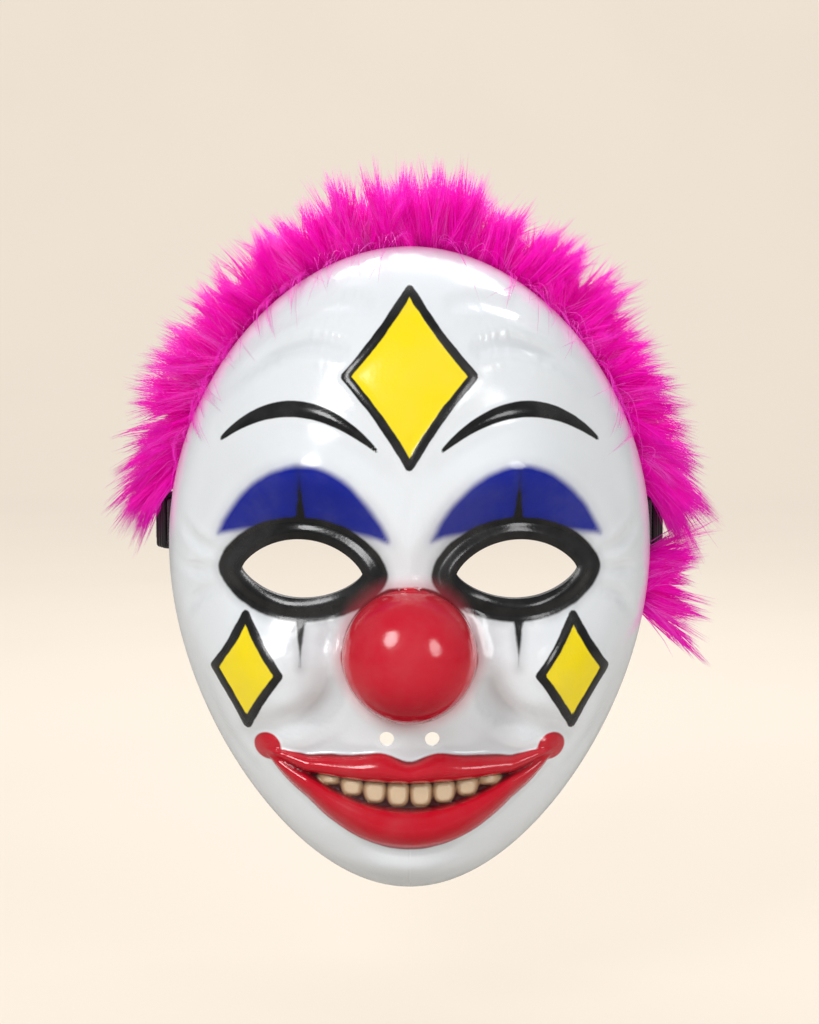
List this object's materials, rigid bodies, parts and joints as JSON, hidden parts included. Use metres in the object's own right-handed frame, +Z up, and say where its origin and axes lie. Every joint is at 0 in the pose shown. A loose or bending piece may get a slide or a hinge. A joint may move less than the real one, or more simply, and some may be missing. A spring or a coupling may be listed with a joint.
{
  "type": "clown face mask",
  "caption": "Hollow moulded clown face mask with a red ball nose, a deep fur trim round the crown and an elastic head strap.",
  "frame": {"origin": "middle of the mask's open back, level with the widest part of the shell, where the wearer's head comes in", "axes": "+X to the viewer's right, the face looks along -Y, +Z up to the crown"},
  "size_m": [0.2426, 0.2217, 0.2736],
  "materials": {
    "shell_plastic": "glossy painted, white ground",
    "trim_fur": "deep pile, hot pink",
    "strap_elastic": "woven, matte black",
    "slide_plastic": "moulded, satin black"
  },
  "bodies": {
    "root": {"face_shell": "shell_plastic", "fur_trim": "trim_fur", "elastic_strap": "strap_elastic", "strap_slide_right": "slide_plastic", "strap_slide_left": "slide_plastic"}
  },
  "joints": []
}
